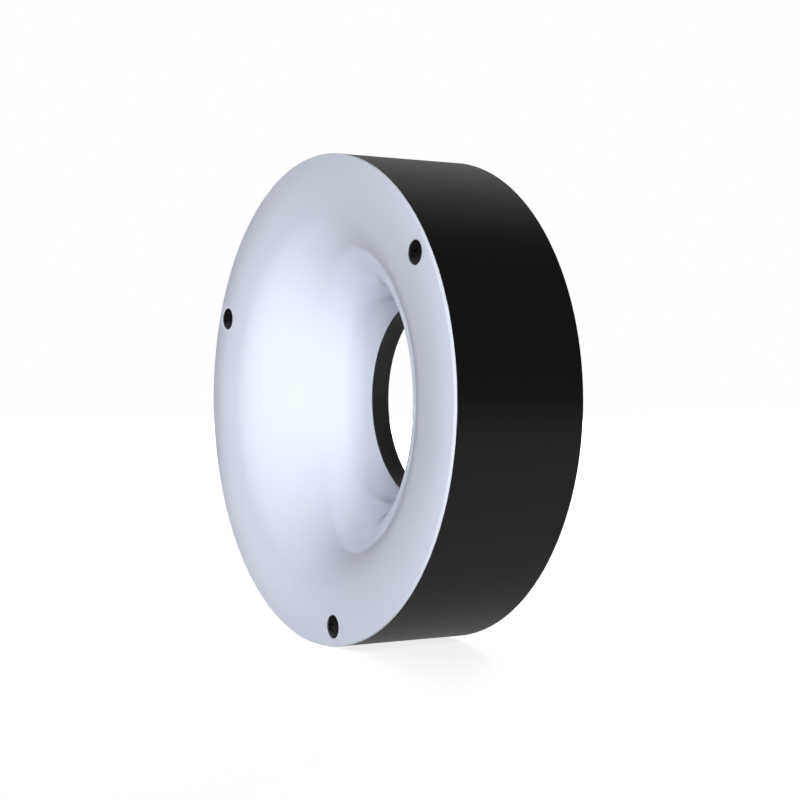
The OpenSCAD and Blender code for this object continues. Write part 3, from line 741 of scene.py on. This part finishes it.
def make_rear_plate(materials):
    """The rear plate with chamfered mouths and real threads in its four mounting holes."""
    mesh = NODES["rear_plate"].data.copy()
    mesh.name = "mounting_plate"
    if "custom_normal" in mesh.attributes:
        mesh.attributes.remove(mesh.attributes["custom_normal"])
    piece = bpy.data.objects.new("mounting_plate", mesh)
    scene.collection.objects.link(piece)
    thread_r = THREAD_D / 2
    rows = [circle(MOUNT_CORE_R + CORE_GAP, -MOUNT_DEEP + TAP_FOOT, TAP_SIDES)]
    rows += thread_rows(-MOUNT_DEEP + TAP_START, -2 * MOUTH_CHAMFER, thread_r, THREAD_DEEP,
                        THREAD_PITCH, TAP_SIDES)
    rows += circles(TAP_SIDES, (thread_r - MOUTH_GAP, -MOUTH_CHAMFER - MOUTH_GAP),
                    (thread_r + MOUTH_CHAMFER + TAP_PAST, TAP_PAST))
    cutters = []
    for k in range(MOUNT_COUNT):
        angle = 2 * math.pi * (k + 0.5) / MOUNT_COUNT
        mesh = grid_ring("tap", rows, TAP_SIDES)
        mesh.transform(on_face(MOUNT_R, angle, 0, -QUARTER))
        cutters.append(placed("tap", mesh))
    cut(piece, *cutters)
    finished(piece, materials, "black_anodised", "rear_plate")
    piece.data.materials.append(surface("turned_bore", **TURNED_BORE))
    for face in piece.data.polygons:
        if abs(face.normal.y) > FLAT_FACE:
            face.use_smooth = False
        elif math.hypot(face.center.x, face.center.z) < (NECK_R + SLIP) * MM:
            face.material_index = 1


def make_inlet_shell(materials):
    """Inlet's shell: a barrel with an outer thread, and a chamfered hexagon against the housing."""
    turn = Matrix.Rotation(-QUARTER, 4, "Y")
    place = Matrix.Translation(Vector((0, -INLET_Z, 0)) * MM) @ turn
    for name, rows, sides in (("inlet_barrel", barrel_rows(INLET_SIDES), INLET_SIDES),
                              ("inlet_hexagon", hexagon_rows(INLET_SIDES * 2), INLET_SIDES * 2)):
        mesh = grid_ring(name, rows, sides, close=True)
        mesh.transform(place)
        finished(placed(name, mesh), materials, "nickel_brass", "inlet_shell")


def barrel_rows(sides):
    """Rows of the inlet's barrel, from its inner end out along the threads and back to its bore."""
    inner = INLET_R - INLET_WALL
    foot, hex_top = PAD_X - NUT_T - SHELL_PAST_NUT, SPOT_X + HEX_T
    tip = hex_top + INLET_OUT
    plain = INLET_R - BARREL_GAP
    rows = circles(sides, (inner, foot), (INLET_R - BARREL_BEVEL, foot))
    rows += thread_rows(foot + FOOT_PLAIN, SPOT_X - SPOT_PLAIN, INLET_R, INLET_THREAD_DEEP,
                        INLET_PITCH, sides)
    rows += circles(sides, (plain, SPOT_X), (plain, hex_top + HEX_PLAIN))
    rows += thread_rows(hex_top + 2 * HEX_PLAIN, tip - END_PLAIN, INLET_R, INLET_THREAD_DEEP,
                        INLET_PITCH, sides)
    return rows + circles(sides, (INLET_R - TIP_ROUND, tip), (inner + BORE_BEVEL, tip),
                          (inner, tip - BORE_BEVEL))


def hexagon_rows(sides):
    """Rows of the inlet's hexagon, whose corners are cut off by a cone towards its top."""
    flat = INLET_AF / 2
    corner = flat / math.cos(HALF_SIDE)
    crown = flat - CROWN_GAP
    rise = (corner - crown) * math.tan(CROWN_ANGLE)
    top = SPOT_X + HEX_T

    def hexagon(angle):
        return flat / math.cos(angle % (2 * HALF_SIDE) - HALF_SIDE)

    def crowned(drop):
        return lambda angle: min(hexagon(angle), crown + drop / math.tan(CROWN_ANGLE))

    rows = circles(sides, (INLET_R - HEX_GAP, SPOT_X), (hexagon, SPOT_X))
    for i in range(CROWN_STEPS + 1):
        drop = rise * (1 - i / CROWN_STEPS)
        rows.append(circle(crowned(drop), top - drop, sides))
    return rows + [circle(INLET_R - HEX_GAP, top, sides)]


add_camera()
add_world()
add_floor()
for lamp in LAMPS:
    add_lamp(*lamp)
add_softbox(*SOFTBOX)
materials = make_materials()
dress_nodes(materials)
make_diffuser(materials)
make_front_screws(materials)
make_rear_screws(materials)
make_rear_plate(materials)
make_inlet_shell(materials)
